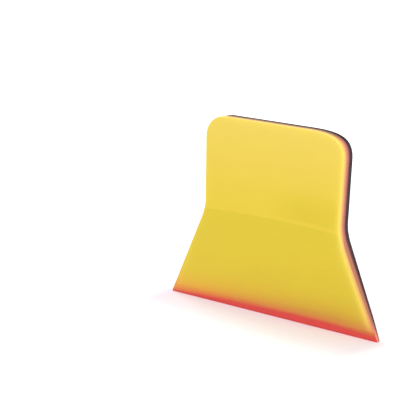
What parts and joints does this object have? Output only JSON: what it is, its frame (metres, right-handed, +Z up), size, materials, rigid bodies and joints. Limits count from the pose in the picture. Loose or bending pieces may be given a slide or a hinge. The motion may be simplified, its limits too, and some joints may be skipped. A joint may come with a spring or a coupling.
{
  "type": "squeegee applicator",
  "caption": "Flat three-layer hand squeegee for pressing vinyl and film: wide ground working edge, narrower rounded handle.",
  "frame": {"origin": "middle of the bottom of the bounding box, on the working edge, so the squeegee stands on it on Z = 0", "axes": "+X along the working edge, +Y through the thickness from the yellow face to the black face, +Z up the handle"},
  "size_m": [0.1192, 0.0082, 0.091],
  "materials": {
    "yellow_sheet": "satin cast face, ground blade",
    "yellow_glue_film": "clear amber glue line",
    "red_core": "translucent satin",
    "black_glue_film": "dark glue line",
    "black_sheet": "satin handle face, brushed ground blade"
  },
  "bodies": {
    "root": {"yellow_sheet": "yellow_sheet", "yellow_glue_film": "yellow_glue_film", "red_core": "red_core", "black_glue_film": "black_glue_film", "black_sheet": "black_sheet"}
  },
  "joints": []
}
